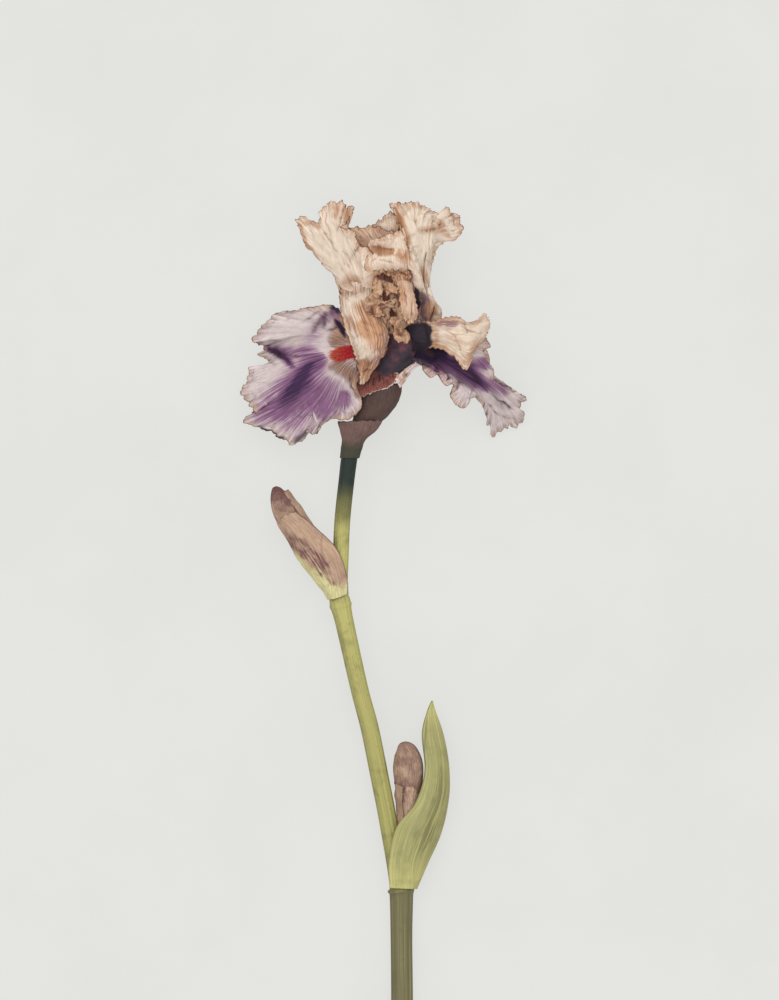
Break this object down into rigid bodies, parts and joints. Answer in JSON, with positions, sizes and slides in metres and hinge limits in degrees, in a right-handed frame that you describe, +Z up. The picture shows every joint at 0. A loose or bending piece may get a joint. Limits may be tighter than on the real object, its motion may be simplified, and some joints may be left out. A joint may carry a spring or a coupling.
{
  "type": "iris flower",
  "caption": "Cut bearded iris lying on a flat surface: branched stem with bracts and withered buds, papery spathe, ruffled peach standards and purple falls with red beards.",
  "frame": {"origin": "bottom centre of the bounding box, on the surface that the cut flower lies on", "axes": "+Y along the stem from its cut end to the flower, +Z up from the surface, +X to the side that the lower bract is on"},
  "size_m": [0.1421, 0.4307, 0.0691],
  "materials": {
    "stem_green": "satin, finely ribbed",
    "bract_green": "satin, finely veined",
    "bract_paper": "matt, dry, striped",
    "bud_paper": "matt, dry, crumpled",
    "throat_purple": "matt",
    "fall_purple": "soft, velvety, veined",
    "beard_red": "hairy",
    "standard_peach": "soft, thin, ruffled rim",
    "style_gold": "soft, crumpled",
    "stamen_cream": "matt"
  },
  "bodies": {
    "root": {"stem": "stem_green", "lower_bract": "bract_green", "lower_bud_sheath": "bud_paper", "lower_bud": "bud_paper", "upper_bract": "bract_paper", "upper_bud_sheath": "bud_paper", "upper_bud": "bud_paper", "spathe_outer": "bract_paper", "spathe_inner": "bract_paper", "ovary_and_tube": "throat_purple", "fall_left": "fall_purple", "fall_right": "fall_purple", "fall_back": "fall_purple", "beard_left": "beard_red", "beard_right": "beard_red", "beard_back": "beard_red", "standard_left": "standard_peach", "standard_right": "standard_peach", "standard_back": "standard_peach", "style_arm_left": "style_gold", "style_arm_right": "style_gold", "style_arm_back": "style_gold", "stamen_left": "stamen_cream", "stamen_right": "stamen_cream", "stamen_back": "stamen_cream"}
  },
  "joints": []
}
